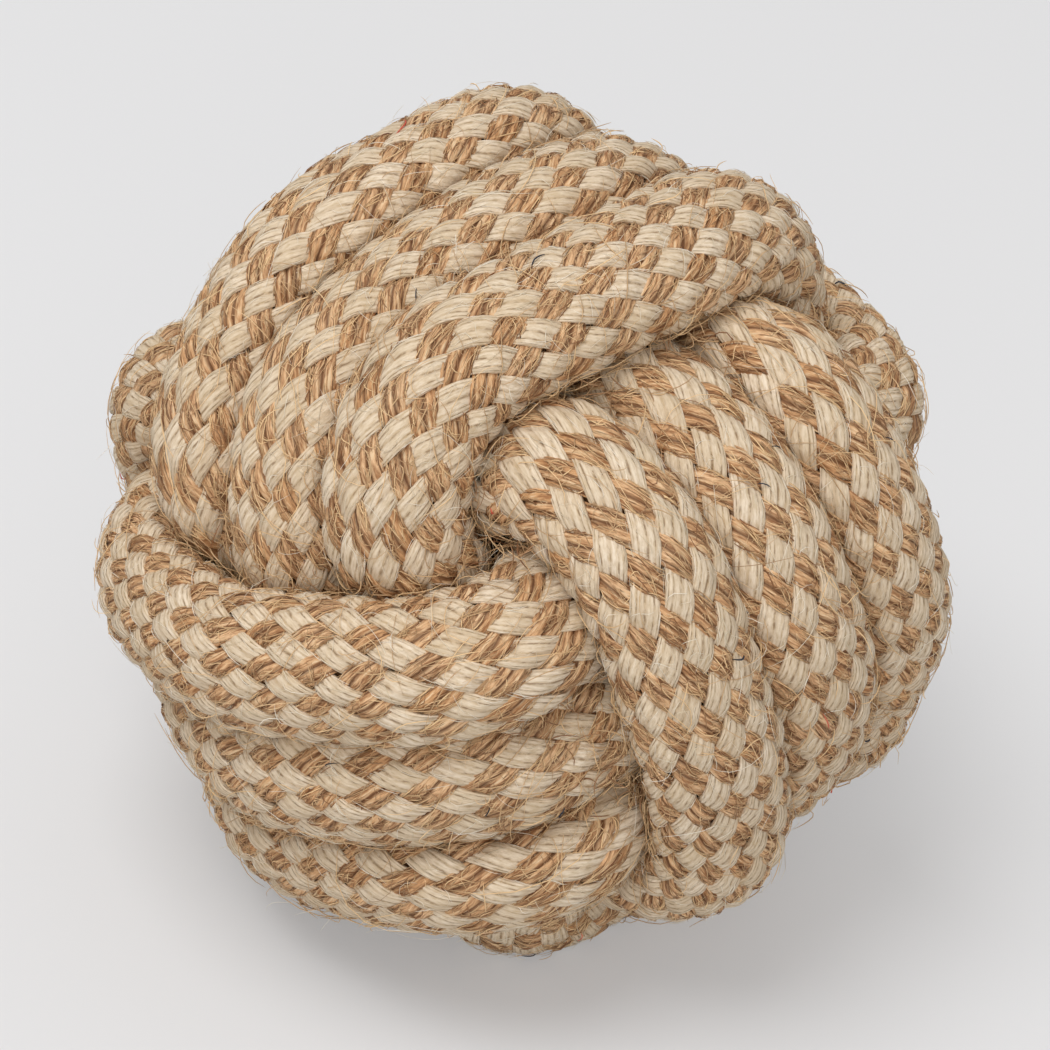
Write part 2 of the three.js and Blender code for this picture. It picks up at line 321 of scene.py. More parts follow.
# Turns that press into each other are pushed apart and off the core
def push_apart(points, pairs, rounded):
    lowest = CORE_DIAMETER / 2 + CORE_CLEARANCE + ROPE_THICKNESS / 2
    highest = lowest + ROPE_THICKNESS + ROUNDING_ALLOWANCE
    _, out, across = section_axes(points)
    first, second = pairs
    gap = points[first] - points[second]
    distance = np.linalg.norm(gap, axis=1)
    gap = gap / distance[:, None]
    reach = reach_of(out[first], across[first], gap) + reach_of(out[second], across[second], gap)
    short = reach - distance
    pressed = short > 0
    first, second, push = first[pressed], second[pressed], gap[pressed] * short[pressed, None]
    count = len(points)
    touches = np.bincount(first, minlength=count) + np.bincount(second, minlength=count)
    for k in range(3):
        move = np.bincount(first, push[:, k], count) - np.bincount(second, push[:, k], count)
        points[:, k] += move * CONTACT_SHARE / np.maximum(touches * CONTACT_SHARE, 1)
    radius = np.linalg.norm(points, axis=1)
    target = np.maximum(radius, lowest)
    if rounded:
        target = np.where(radius > highest, (radius + highest) / 2, target)
    points *= (target / radius)[:, None]


def straighten_ends(points):
    share = np.arange(STRAIGHT_END_POINTS + 1)[:, None] / STRAIGHT_END_POINTS
    for end in (points[:STRAIGHT_END_POINTS + 1], points[-STRAIGHT_END_POINTS - 1:]):
        end[:] = end[0] + (end[-1] - end[0]) * share


# The tension straightens the line, the stiffness rounds its kinks and the squeeze draws it in
def pull_tight(points, stage):
    bend = points[:-2] + points[2:] - 2 * points[1:-1]
    kink = bend[:-2] + bend[2:] - 2 * bend[1:-1]
    result = points.copy()
    result[1:-1] += bend * stage["tension"] / 2
    result[2:-2] -= kink * stage["stiffness"]
    radius = np.linalg.norm(points, axis=1, keepdims=True)
    return result - points * stage["squeeze"] * ROPE_THICKNESS / radius


# The turn that sets the ball down as it lies in the photo
def stand_matrix():
    x, y, z = (math.radians(angle) for angle in STAND_ANGLES)
    turn_x = np.array([[1, 0, 0], [0, math.cos(x), -math.sin(x)], [0, math.sin(x), math.cos(x)]])
    turn_y = np.array([[math.cos(y), 0, math.sin(y)], [0, 1, 0], [-math.sin(y), 0, math.cos(y)]])
    turn_z = np.array([[math.cos(z), -math.sin(z), 0], [math.sin(z), math.cos(z), 0], [0, 0, 1]])
    return turn_x @ turn_y @ turn_z


def tight_route():
    points = open_route()
    for stage in TIGHTENING_STAGES:
        for tightening_round in range(stage["rounds"]):
            even, step = evenly(points, ROUTE_POINTS)
            if tightening_round % PAIR_REFRESH_COUNT == 0:
                pairs = nearby_pairs(even, step)
            points = pull_tight(even, stage)
            for _ in range(stage["contacts"]):
                push_apart(points, pairs, stage["rounded"])
                straighten_ends(points)
    return points @ stand_matrix().T


# A smooth line through the route's points
def fine_line(points, per_step):
    padded = np.concatenate([[2 * points[0] - points[1]], points, [2 * points[-1] - points[-2]]])
    a, b, c, d = padded[:-3, None], padded[1:-2, None], padded[2:-1, None], padded[3:, None]
    t = (np.arange(per_step) / per_step)[None, :, None]
    bent = (2 * a - 5 * b + 4 * c - d) * t**2
    twisted = (3 * b - a - 3 * c + d) * t**3
    fine = 0.5 * (2 * b + (c - a) * t + bent + twisted)
    return np.concatenate([fine.reshape(-1, 3), points[-1:]])


# The rope as a surface: a place is given by its length along the rope in millimetres, its share of a
# turn round the oval and its height over it in millimetres
class RopeSurface:
    def __init__(self, route):
        line = fine_line(route, FINE_STATIONS_PER_POINT)
        steps = np.linalg.norm(np.diff(line, axis=0), axis=1)
        self.reach = np.concatenate([[0.0], np.cumsum(steps)])
        self.length = self.reach[-1]
        self.centre = line
        _, out, _ = section_axes(route)
        place = np.linspace(0, len(route) - 1, len(line))
        outs = np.stack([np.interp(place, np.arange(len(route)), out[:, k]) for k in range(3)], axis=1)
        along = unit(np.gradient(line, axis=0))
        self.out = square_to(along, outs)
        self.across = np.cross(along, self.out)
        self.along = along
        self.twist = self.untwisted()
        angle = np.linspace(-math.pi, math.pi, OVAL_STEPS + 1)
        speed = np.hypot(BRAID_HALF_WIDTH * np.cos(angle), BRAID_HALF_THICKNESS * np.sin(angle))
        arc = np.concatenate([[0.0], np.cumsum((speed[1:] + speed[:-1]) / 2 * np.diff(angle))])
        self.round_length = arc[-1]
        self.arc_table = arc / arc[-1]
        self.angle_table = angle

    # The rope isn't twisted where it turns over, so its braid turns back against its flat side
    def untwisted(self):
        carried = self.out[0]
        angles = [0.0]
        for k in range(1, len(self.out)):
            carried = carried - self.along[k] * np.dot(carried, self.along[k])
            carried = carried / np.linalg.norm(carried)
            angles.append(math.atan2(np.dot(carried, self.across[k]), np.dot(carried, self.out[k])))
        return np.unwrap(np.array(angles)) / (2 * math.pi)

    # A table's values at lengths along the rope, between the two nearest stations
    def along_rope(self, table, reach):
        if table.ndim == 1:
            return np.interp(reach, self.reach, table)
        return np.stack([np.interp(reach, self.reach, table[:, k]) for k in range(3)], axis=-1)

    # Places and the surface's direction outwards there
    def at(self, reach, turn, height):
        out = self.along_rope(self.out, reach)
        across = self.along_rope(self.across, reach)
        share = (turn + self.along_rope(self.twist, reach) + 0.5) % 1.0
        angle = np.interp(share, self.arc_table, self.angle_table)
        sine, cosine = np.sin(angle)[..., None], np.cos(angle)[..., None]
        normal = unit(across * sine / BRAID_HALF_WIDTH + out * cosine / BRAID_HALF_THICKNESS)
        base = across * sine * BRAID_HALF_WIDTH + out * cosine * BRAID_HALF_THICKNESS
        places = self.along_rope(self.centre, reach) + base + normal * height[..., None]
        return BALL_CENTRE + places * MM, normal


# Whether a place sees out of the ball, by walking away from it through a grid of filled boxes
class Outlook:
    def __init__(self, surface):
        spread = np.linspace(-1, 1, SECTION_SAMPLES)
        x, y = np.meshgrid(spread, spread)
        inside = x**2 + y**2 <= 1
        half_width = BRAID_HALF_WIDTH * BLOCKING_SHARE
        half_thickness = BRAID_HALF_THICKNESS * BLOCKING_SHARE
        offsets = surface.across[:, None] * (x[inside] * half_width)[None, :, None]
        offsets = offsets + surface.out[:, None] * (y[inside] * half_thickness)[None, :, None]
        cloud = (surface.centre[:, None] + offsets).reshape(-1, 3)
        margin = MARGIN_VOXELS * VOXEL
        self.low = cloud.min(axis=0) - margin
        counts = np.ceil((cloud.max(axis=0) + margin - self.low) / VOXEL).astype(int)
        self.filled = np.zeros(counts, bool)
        index = ((cloud - self.low) / VOXEL).astype(int)
        self.filled[index[:, 0], index[:, 1], index[:, 2]] = True
        # Even directions all round, each a golden turn on from the one before
        k = np.arange(LOOK_DIRECTIONS) + 0.5
        height = 1 - 2 * k / LOOK_DIRECTIONS
        turn = math.pi * (1 + math.sqrt(5)) * k
        flat = np.sqrt(1 - height**2)
        self.directions = np.stack([flat * np.cos(turn), flat * np.sin(turn), height], axis=1)

    def holds(self, places):
        index = (((places - BALL_CENTRE) / MM - self.low) / VOXEL).astype(int)
        index = np.clip(index, 0, np.array(self.filled.shape) - 1)
        return self.filled[index[:, 0], index[:, 1], index[:, 2]]

    # The share of the directions that are free
    def openness(self, places, normals):
        start = (places - BALL_CENTRE) / MM + normals * LOOK_START
        free_share = np.zeros(len(places))
        for direction in self.directions:
            free = normals @ direction > LEAST_FACING
            for step in np.arange(0, LOOK_LENGTH, VOXEL):
                index = ((start + direction * step - self.low) / VOXEL).astype(int)
                within = np.all((index >= 0) & (index < self.filled.shape), axis=1)
                index = np.clip(index, 0, np.array(self.filled.shape) - 1)
                free &= ~(within & self.filled[index[:, 0], index[:, 1], index[:, 2]])
                if not free.any():
                    break
            free_share += free
        return free_share / LOOK_DIRECTIONS


# The crossings of one kind of bundle that lie on top, which is every second step: how many steps
# along the rope, how many turns round it, and which bundle it is
def crossings(surface, kind):
    steps = np.arange(kind["first_step"], int(surface.length / CROSSING) - 1, 2)
    step, bundle = (grid.ravel() for grid in np.meshgrid(steps, np.arange(BUNDLES), indexing="ij"))
    turn = (COTTON_SLOPE_SHARE * step + bundle) / BUNDLES
    own_bundle = (bundle if kind is COTTON else bundle + step) % BUNDLES
    return {"step": step.astype(float), "turn": turn, "bundle": own_bundle}


# The chosen rows of a table of cells or lengths
def take(table, chosen):
    return {name: values[chosen] for name, values in table.items()}


# A place in a bundle's own cells, turned into a length along the rope and a turn round it
def rope_place(kind, cells, along, across):
    cotton, jute = (along, across) if kind is COTTON else (across, along)
    shape = (-1,) + (1,) * (along.ndim - 1)
    step = cells["step"].reshape(shape) + cotton + jute
    slope = cotton * COTTON_SLOPE_SHARE - jute * (1 - COTTON_SLOPE_SHARE)
    return step * CROSSING, cells["turn"].reshape(shape) + slope / BUNDLES


# A bundle's section is a squarish half round of yarns lying side by side
def section(kind, across):
    angle = across * kind["wrap"] * math.pi / 2
    power = 2 / kind["squareness"]
    side = np.sign(angle) * np.abs(np.sin(angle)) ** power
    rise = np.sign(np.cos(angle)) * np.abs(np.cos(angle)) ** power
    return side, rise


# 1 along the middle of each yarn of a bundle and 0 between two yarns
def yarn_ridge(kind, across):
    place = (across + 1) / 2 * kind["yarns"] % 1.0
    return np.sqrt(np.maximum(1 - (2 * place - 1) ** 2, 0))


# How far to the side and how high over the oval a place on a bundle lies
def bundle_point(kind, along, across):
    side, rise = section(kind, across)
    width = kind["width_share"] / 2 * (1 - kind["pinch_share"] * along**2)
    crest = WAVE_HEIGHT * np.cos(math.pi * along) + kind["lift"]
    return side * width, crest + rise * kind["dome"] - kind["groove"] * (1 - yarn_ridge(kind, across))


# Only the crossings that see out of the ball from their middle or an edge are kept
def seen_cells(surface, outlook, kind, cells):
    looks = np.array([(0, 0), (0.5, 0), (-0.5, 0), (0, 0.5), (0, -0.5)])
    along = np.broadcast_to(looks[:, 0], (len(cells["step"]), len(looks)))
    across = np.broadcast_to(looks[:, 1], along.shape)
    reach, turn = rope_place(kind, cells, along, across)
    places, normals = surface.at(reach, turn, np.full(reach.shape, ENVELOPE_HEIGHT))
    free = outlook.openness(places.reshape(-1, 3), normals.reshape(-1, 3)).reshape(reach.shape)
    cells["openness"] = free.max(axis=1)
    return take(cells, cells["openness"] > 0)


# Noise that runs on along the yarns
def streaky(rng, shape):
    noise = rng.normal(size=shape)
    for _ in range(STREAK_ROUNDS):
        noise[:, 1:-1] = (noise[:, :-2] + noise[:, 1:-1] + noise[:, 2:]) / 2
    return noise


# All cells of one kind: closed lengths of bundle, each a ring of points at steps along it
def bundle_cells(surface, kind, cells, rng):
    columns = kind["yarns"] * kind["steps_per_yarn"] + 1
    count = len(cells["step"])
    along_row = np.linspace(-kind["reach_share"], kind["reach_share"], STEPS_ALONG_CELL + 1)
    along, across = np.meshgrid(along_row, np.linspace(-1, 1, columns), indexing="ij")
    side, height = bundle_point(kind, along, across)
    ridge = np.broadcast_to(yarn_ridge(kind, across), side.shape)
    under_side = np.stack([side[:, -1] * UNDER_SHARE, side[:, 0] * UNDER_SHARE], axis=1)
    under_height = height[:, [-1, 0]] - UNDER_DEPTH
    side = np.concatenate([side, under_side], axis=1)
    height = np.concatenate([height, under_height], axis=1)
    # The under side gets a ridge of 0, so the materials paint it with their painted shade between yarns
    ridge = np.concatenate([ridge, np.zeros_like(under_side)], axis=1)
    along = np.concatenate([along, along[:, :2]], axis=1)
    shape = (count,) + side.shape
    each = (count, 1, 1)
    fullness = 1 + kind["unevenness"] * rng.normal(size=each)
    shift = kind["shift"] * rng.normal(size=(2,) + each)
    sway = kind["fray"] * streaky(rng, shape)
    bump = kind["fray"] * streaky(rng, shape)
    skew = kind["skew"] * rng.normal(size=each)
    whole_side = side * fullness + along * skew + (sway + shift[0]) / CROSSING
    whole_along = along - side * skew + shift[1] / CROSSING
    whole_height = height * (2 - fullness) + bump * BUMP_SHARE
    reach, turn = rope_place(kind, cells, whole_along, whole_side)
    places, _ = surface.at(reach, turn, whole_height)
    yarn = np.clip(np.arange(side.shape[1]) // kind["steps_per_yarn"], 0, kind["yarns"] - 1)
    tint = rng.normal(size=each) * LENGTH_TINT
    tint = tint + rng.normal(size=(count, 1, kind["yarns"]))[:, :, yarn] * YARN_TINT
    tint = tint + BUNDLE_TINT * rng.normal(size=BUNDLES)[cells["bundle"]][:, None, None]
    along_mm = np.broadcast_to(along * CROSSING, shape) + rng.uniform(0, PATTERN_SHIFT, size=each)
    return {
        "places": places,
        "tint": np.broadcast_to(tint, shape),
        "ridge": np.broadcast_to(ridge, shape),
        "across_mm": np.broadcast_to(side * CROSSING, shape),
        "along_mm": along_mm,
    }


# Faces of tubes whose points are rings in rows, with a many-sided face over each end
def tube_faces(count, rows, ring):
    first = np.arange(count)[:, None, None] * rows * ring
    row = np.arange(rows - 1)[None, :, None] * ring
    a = first + row + np.arange(ring)
    b = first + row + (np.arange(ring) + 1) % ring
    sides = np.stack([a, b, b + ring, a + ring], axis=-1).reshape(-1, 4)
    cap = np.arange(count)[:, None] * rows * ring + np.arange(ring)
    return [sides, cap[:, ::-1], cap + (rows - 1) * ring]


# Yarn that would reach through the table lies flat on it
def on_floor(points):
    height = points[:, 2]
    points[:, 2] = (height + np.sqrt(height**2 + FLOOR_SOFTNESS**2)) / 2
    return points


# A piece from its points and faces, with values at its points and maps for its colours
def add_mesh(name, points, faces, material, attributes, maps):
    mesh = bpy.data.meshes.new(name)
    points = points.reshape(-1, 3).copy()
    mesh.vertices.add(len(points))
    mesh.vertices.foreach_set("co", on_floor(points).astype(np.float32).ravel())
    corners = np.concatenate([part.ravel() for part in faces]).astype(np.int32)
    sizes = np.concatenate([np.full(len(part), part.shape[1]) for part in faces])
    mesh.loops.add(len(corners))
    mesh.loops.foreach_set("vertex_index", corners)
    mesh.polygons.add(len(sizes))
    mesh.polygons.foreach_set("loop_start", (np.cumsum(sizes) - sizes).astype(np.int32))
    mesh.update(calc_edges=True)
    for map_name, values in maps.items():
        layer = mesh.uv_layers.new(name=map_name)
        layer.uv.foreach_set("vector", values.reshape(-1, 2)[corners].astype(np.float32).ravel())
    for attribute_name, values in attributes.items():
        attribute = mesh.attributes.new(attribute_name, "FLOAT", "POINT")
        attribute.data.foreach_set("value", np.ascontiguousarray(values, np.float32).ravel())
    mesh.shade_smooth()
    mesh.materials.append(material)
    piece = bpy.data.objects.new(name, mesh)
    bpy.context.scene.collection.objects.link(piece)
    return piece


# Each cell of a piece has its own square in the piece's colour map
def map_squares(count, per_cell, u, v):
    side = math.ceil(math.sqrt(count))
    index = np.arange(count).repeat(per_cell)
    corner = np.stack([index % side, index // side], axis=1)
    within = np.stack([u.ravel(), v.ravel()], axis=1) * (1 - 2 * MAP_MARGIN) + MAP_MARGIN
    return (corner + within) / side


def add_bundles(kind, cells, surface, material, rng):
    lengths = bundle_cells(surface, kind, cells, rng)
    count, rows, ring = lengths["tint"].shape
    u, v = np.meshgrid(np.linspace(0, 1, rows), np.linspace(0, 1, ring), indexing="ij")
    pieces = []
    for number, start in enumerate(range(0, count, CELLS_PER_PIECE), 1):
        part = take(lengths, slice(start, start + CELLS_PER_PIECE))
        here = len(part["tint"])
        yarn_mm = np.stack([part["across_mm"], part["along_mm"]], axis=-1)
        squares = map_squares(here, rows * ring, np.tile(u.ravel(), here), np.tile(v.ravel(), here))
        pieces.append(add_mesh(
            f"{kind['name']}_bundles_{number}", part["places"], tube_faces(here, rows, ring), material,
            {"tint": part["tint"], "ridge": part["ridge"]}, {"OFBake": squares, "yarn_mm": yarn_mm},
        ))
    return pieces


# The plain yarn under the braid, seen only in its gaps
def add_inner_yarn(surface, material):
    rings = int(surface.length / INNER_STEP)
    reach, turn = np.meshgrid(
        np.linspace(0, surface.length, rings), np.arange(INNER_SIDES) / INNER_SIDES, indexing="ij",
    )
    places, _ = surface.at(reach, turn, np.full(reach.shape, -INNER_DEPTH))
    yarn_mm = np.stack([turn * surface.round_length, reach], axis=-1)
    squares = np.stack([turn, reach / surface.length], axis=-1)
    return add_mesh(
        "inner_yarn", places, tube_faces(1, rings, INNER_SIDES), material,
        {"tint": np.zeros(reach.shape), "ridge": np.ones(reach.shape)},
        {"OFBake": squares, "yarn_mm": yarn_mm},
    )


# Thin three-sided tubes along paths, narrower at both ends
def add_fibres(name, paths, normals, radii, tints, material):
    along = unit(np.gradient(paths, axis=1))
    side = unit(np.cross(along, normals) + NOT_ZERO)
    up = np.cross(side, along)
    count, steps = paths.shape[:2]
    taper = 1 - TAPER_SHARE * np.abs(np.linspace(-1, 1, steps)) ** TAPER_POWER
    turn = np.arange(FIBRE_SIDES) / FIBRE_SIDES * 2 * math.pi
    ring = side[:, :, None] * np.cos(turn)[:, None] + up[:, :, None] * np.sin(turn)[:, None]
    places = paths[:, :, None] + ring * (radii[:, None] * taper * MM)[:, :, None, None]
    shape = (count, steps, FIBRE_SIDES)
    u, v = np.meshgrid(np.linspace(0, 1, steps), np.linspace(0, 1, FIBRE_SIDES), indexing="ij")
    squares = map_squares(count, steps * FIBRE_SIDES, np.tile(u.ravel(), count), np.tile(v.ravel(), count))
    return add_mesh(
        name, places, tube_faces(*shape), material,
        {"tint": np.broadcast_to(tints[:, None, None], shape)}, {"OFBake": squares},
    )


# Single fibres that lie on the bundles, nearly along their yarns
def lying_fibres(surface, kind, cells, per_cell, rng):
    in_sight = np.flatnonzero(cells["openness"] > LEAST_FIBRE_OPENNESS)
    chosen = take(cells, in_sight.repeat(per_cell))
    each = (len(chosen["step"]), 1)
    t = np.linspace(0, 1, LYING_STEPS)
    start = rng.uniform(*LYING_START, size=each)
    along = start + t * rng.uniform(*LYING_RUN, size=each)
    across = rng.uniform(-LYING_ACROSS, LYING_ACROSS, size=each)
    across = across + (t - 0.5) * rng.normal(0, LYING_SWAY, size=each)
    across = across + rng.normal(0, LYING_BOW, size=each) * (2 * t - 1) ** 2
    side, height = bundle_point(kind, along, across)
    reach, turn = rope_place(kind, chosen, along, side)
    lift = rng.uniform(*LYING_LIFT, size=each)
    free_end = np.abs(rng.normal(0, LYING_FREE_END, size=each)) * t**2
    return surface.at(reach, turn, height + (lift + free_end))


# Longer stray fibres that leave their bundle and cross the others
def stray_fibres(surface, kind, cells, fibres, rng):
    count = fibres["count"]
    each = (count, 1)
    shade = 1 - cells["openness"] / cells["openness"].max()
    weight = 1 + fibres["favour"] * shade**VALLEY_POWER
    chosen = take(cells, rng.choice(len(weight), size=count, p=weight / weight.sum()))
    place = rng.uniform(-0.5, 0.5, size=(2,) + each)
    reach, turn = rope_place(kind, chosen, place[0], place[1])
    t = np.linspace(0, 1, STRAY_STEPS)
    length = rng.lognormal(math.log(fibres["length"]), STRAY_LENGTH_SPREAD, size=each)
    length = np.clip(length, *STRAY_LENGTH_LIMITS)
    if kind is COTTON:
        lean = math.atan2(COTTON_SLOPE_SHARE, BRAID_STEEPNESS)
    else:
        lean = -math.atan2(1 - COTTON_SLOPE_SHARE, BRAID_STEEPNESS)
    heading = lean + rng.normal(0, STRAY_HEADING, size=each)
    heading = heading + (t - 0.5) * rng.normal(0, STRAY_BEND, size=each)
    step = length / (STRAY_STEPS - 1)
    reach = reach + np.cumsum(np.cos(heading), axis=1) * step
    turn = turn + np.cumsum(np.sin(heading), axis=1) * step / surface.round_length
    free_end = rng.exponential(fibres["rise"], size=each) * t**2
    arch = np.abs(rng.normal(0, STRAY_ARCH, size=each)) * np.sin(math.pi * t)
    climb = STRAY_CLIMB * np.minimum(t * STRAY_CLIMB_PARTS, 1)
    return surface.at(reach, turn, STRAY_ROOT_HEIGHT + climb + arch + free_end)


# Short curly fibres caught in the gaps between the turns, where they can be seen from outside
def gap_fibres(outlook, fibres, rng):
    outwards = unit(rng.normal(size=(fibres["tries"], 3)))
    depth = rng.uniform(*fibres["depths"], size=(fibres["tries"], 1))
    places = BALL_CENTRE + outwards * depth * MM
    free = ~outlook.holds(places)
    places, outwards = places[free], outwards[free]
    seen_from_outside = np.flatnonzero(outlook.openness(places, outwards) > 0)[:fibres["count"]]
    places, outwards = places[seen_from_outside], outwards[seen_from_outside]
    each = (len(places), 1)
    heading = square_to(outwards, rng.normal(size=places.shape))
    outward_lean = GAP_OUTWARD_LEAN * outwards * rng.normal(size=each)
    aside = unit(np.cross(heading, outwards) + outward_lean)
    t = np.linspace(-0.5, 0.5, STRAY_STEPS)[:, None]
    length = fibres["length"] * rng.uniform(*GAP_LENGTH_RANGE, size=each + (1,))
    curl = rng.normal(0, GAP_CURL, size=each + (1,))
    paths = places[:, None] + (heading[:, None] * t + aside[:, None] * curl * t**2) * length * MM
    return paths, np.broadcast_to(outwards[:, None], paths.shape)


# A node of a material or the world, with its settings. An input is a value, or the socket that
# feeds it
def add_node(owner, kind, inputs=None, **settings):
    node = owner.node_tree.nodes.new(kind)
    for name, value in settings.items():
        setattr(node, name, value)
    for name, value in (inputs or {}).items():
        if isinstance(value, bpy.types.NodeSocket):
            owner.node_tree.links.new(value, node.inputs[name])
        else:
            node.inputs[name].default_value = value
    return node


# An sRGB hex colour as the linear one that the renderer works with
def linear(hex_colour):
    shares = [int(hex_colour[k:k + 2], 16) / 255 for k in (1, 3, 5)]
    return (*[c / 12.92 if c <= 0.04045 else ((c + 0.055) / 1.055) ** 2.4 for c in shares], 1.0)


def new_material(name):
    material = bpy.data.materials.new(name)
    material.use_nodes = True
    material.node_tree.nodes.clear()
    return material


# Lays a colour, in sRGB hex, over another where a pattern's values say so: the first share of it at
# the first value, the second share at the second, and evenly more or less of it between them
def lay_colour(material, under, over, pattern, values, shares=(0.0, 1.0)):
    share = add_node(material, "ShaderNodeMapRange", {
        "Value": pattern, "From Min": values[0], "From Max": values[1],
        "To Min": shares[0], "To Max": shares[1],
    })
    colour = add_node(material, "ShaderNodeMix", {
        MIX_SHARE: share.outputs["Result"], MIX_UNDER: under, MIX_OVER: linear(over),
    }, data_type="RGBA")
    return colour.outputs[MIX_COLOUR]


# 1 for the rays that show the background: straight to the camera, in a gloss or through glass
def background_ray(owner):
    ray = add_node(owner, "ShaderNodeLightPath").outputs
    either = add_node(owner, "ShaderNodeMath", {
        0: ray["Is Camera Ray"], 1: ray["Is Glossy Ray"],
    }, operation="MAXIMUM")
    any_of_them = add_node(owner, "ShaderNodeMath", {
        0: either.outputs[0], 1: ray["Is Transmission Ray"],
    }, operation="MAXIMUM")
    return any_of_them.outputs[0]


# The material's surface: its colour, roughness, relief and, for the table, its glow
def finish(material, colour, roughness, relief=None, depth=0.0, glow=None):
    inputs = {"Base Color": colour, "Roughness": roughness}
    if relief is not None:
        bump = add_node(material, "ShaderNodeBump", {"Height": relief, "Distance": depth})
        inputs["Normal"] = bump.outputs["Normal"]
    if glow is not None:
        inputs["Emission Color"] = colour
        inputs["Emission Strength"] = glow
    shader = add_node(material, "ShaderNodeBsdfPrincipled", inputs)
    add_node(material, "ShaderNodeOutputMaterial", {"Surface": shader.outputs["BSDF"]})
    return material


# Noise drawn out along the yarns
def yarn_streaks(material, streaks):
    place = add_node(material, "ShaderNodeUVMap", uv_map="yarn_mm")
    turned = add_node(material, "ShaderNodeMapping", {
        "Vector": place.outputs["UV"],
        "Rotation": (0, 0, streaks["lean"]),
        "Scale": (streaks["across"], streaks["along"], 1),
    })
    noise = add_node(material, "ShaderNodeTexNoise", {
        "Vector": turned.outputs["Vector"], "Scale": 1.0, "Detail": streaks["detail"], "Roughness": 0.6,
    })
    return noise.outputs["Fac"]


# Ring-spun cotton yarn, undyed and laid side by side: soft, dull and pale. Its streaks are fluff. It has
# painted shade, grey-brown, between two yarns and under the bundle, darkest where the fluff that bridges
# them breaks off
def cotton_yarn_material():
    material = new_material("ring_spun_cotton_yarn")
    tint = add_node(material, "ShaderNodeAttribute", attribute_name="tint").outputs["Fac"]
    ridge = add_node(material, "ShaderNodeAttribute", attribute_name="ridge").outputs["Fac"]
    fluff = yarn_streaks(material, COTTON_FLUFF)
    breaks = add_node(material, "ShaderNodeMapRange", {
        "Value": yarn_streaks(material, COTTON_BREAKS), "From Min": 0.46, "From Max": 0.6,
        "To Min": 0.0, "To Max": 0.75,
    })
    colour = lay_colour(material, linear("#dcc8ac"), "#eddcc5", tint, TINT_RANGE)
    colour = lay_colour(material, colour, "#c6ad89", fluff, (0.4, 0.7), (0.0, 0.9))
    # Painted shade, grey-brown, between two yarns and under the bundle
    colour = lay_colour(material, colour, "#ad8c60", ridge, (0.0, 0.6), (0.4, 0.0))
    # Deeper painted shade between two yarns, in dashes where the fluff that bridges them breaks off
    colour = lay_colour(material, colour, "#6b4c2a", ridge, (0.0, 0.45), (breaks.outputs["Result"], 0.0))
    return finish(material, colour, 0.95, fluff, 0.15 * MM)


# Jute yarn, spun coarse from long flat fibres: golden brown and a little shinier than cotton. Light
# and dark fibres run along it, the light ones partly a painted highlight. It has deep brown painted
# shade between two yarns, under the bundle and in its splits
def jute_yarn_material():
    material = new_material("coarse_spun_jute_yarn")
    tint = add_node(material, "ShaderNodeAttribute", attribute_name="tint").outputs["Fac"]
    ridge = add_node(material, "ShaderNodeAttribute", attribute_name="ridge").outputs["Fac"]
    fibre = yarn_streaks(material, JUTE_FIBRES)
    split = yarn_streaks(material, JUTE_SPLITS)
    colour = lay_colour(material, linear("#d19e6c"), "#e6bd91", tint, TINT_RANGE)
    colour = lay_colour(material, colour, "#96643a", fibre, (0.47, 0.62), (0.0, 0.9))
    # Light fibres, partly a painted highlight of fibres catching the light
    colour = lay_colour(material, colour, "#ecd0a8", fibre, (0.46, 0.34), (0.0, 0.9))
    # Painted shade, deep brown, between two yarns and under the bundle
    colour = lay_colour(material, colour, "#5e3513", ridge, (0.0, 0.7), (0.9, 0.0))
    # Painted shade, deep brown, in the yarn's splits
    colour = lay_colour(material, colour, "#633a18", split, (0.58, 0.64), (0.0, 0.8))
    return finish(material, colour, 0.72, fibre, 0.3 * MM)


# Loose cotton yarn under the braid, seen in the gaps where little light gets in. Its dull dark brown is
# painted shade: the pale cotton is coloured as dark as it looks there
def inner_yarn_material():
    material = new_material("loose_cotton_yarn_painted_shade")
    strands = yarn_streaks(material, INNER_STRANDS)
    # Painted shade: dark browns for pale cotton that lies in shade
    colour = lay_colour(material, linear("#55361a"), "#76502e", strands, (0.3, 0.7))
    return finish(material, colour, 0.95, strands, 0.2 * MM)


# Single fibres of jute, cotton or dyed thread, worn loose from the yarn: smooth, so that they catch
# more light than it does, and each of one even colour
def fibre_material(name, dark, light):
    material = new_material(name)
    tint = add_node(material, "ShaderNodeAttribute", attribute_name="tint").outputs["Fac"]
    return finish(material, lay_colour(material, linear(dark), light, tint, (0.0, 1.0)), 0.55)


# A mottled finish. Moulded rubber gives a dull brown with faint clouds about 4 mm wide, its brown partly
# painted shade, dark enough to pass for the shade in the gaps where it shows. Yarn soaked in glue that
# has set a little shine is mottled about as wide as the yarns, 1 mm. The grain is that width in
# millimetres
def mottled_material(name, dark, light, grain, roughness, depth):
    material = new_material(name)
    place = add_node(material, "ShaderNodeTexCoord").outputs["Object"]
    noise = add_node(material, "ShaderNodeTexNoise", {
        "Vector": place, "Scale": 1 / (grain * MM), "Detail": 4.0,
    }).outputs["Fac"]
    colour = lay_colour(material, linear(dark), light, noise, (0.0, 1.0))
    return finish(material, colour, roughness, noise, depth * MM)


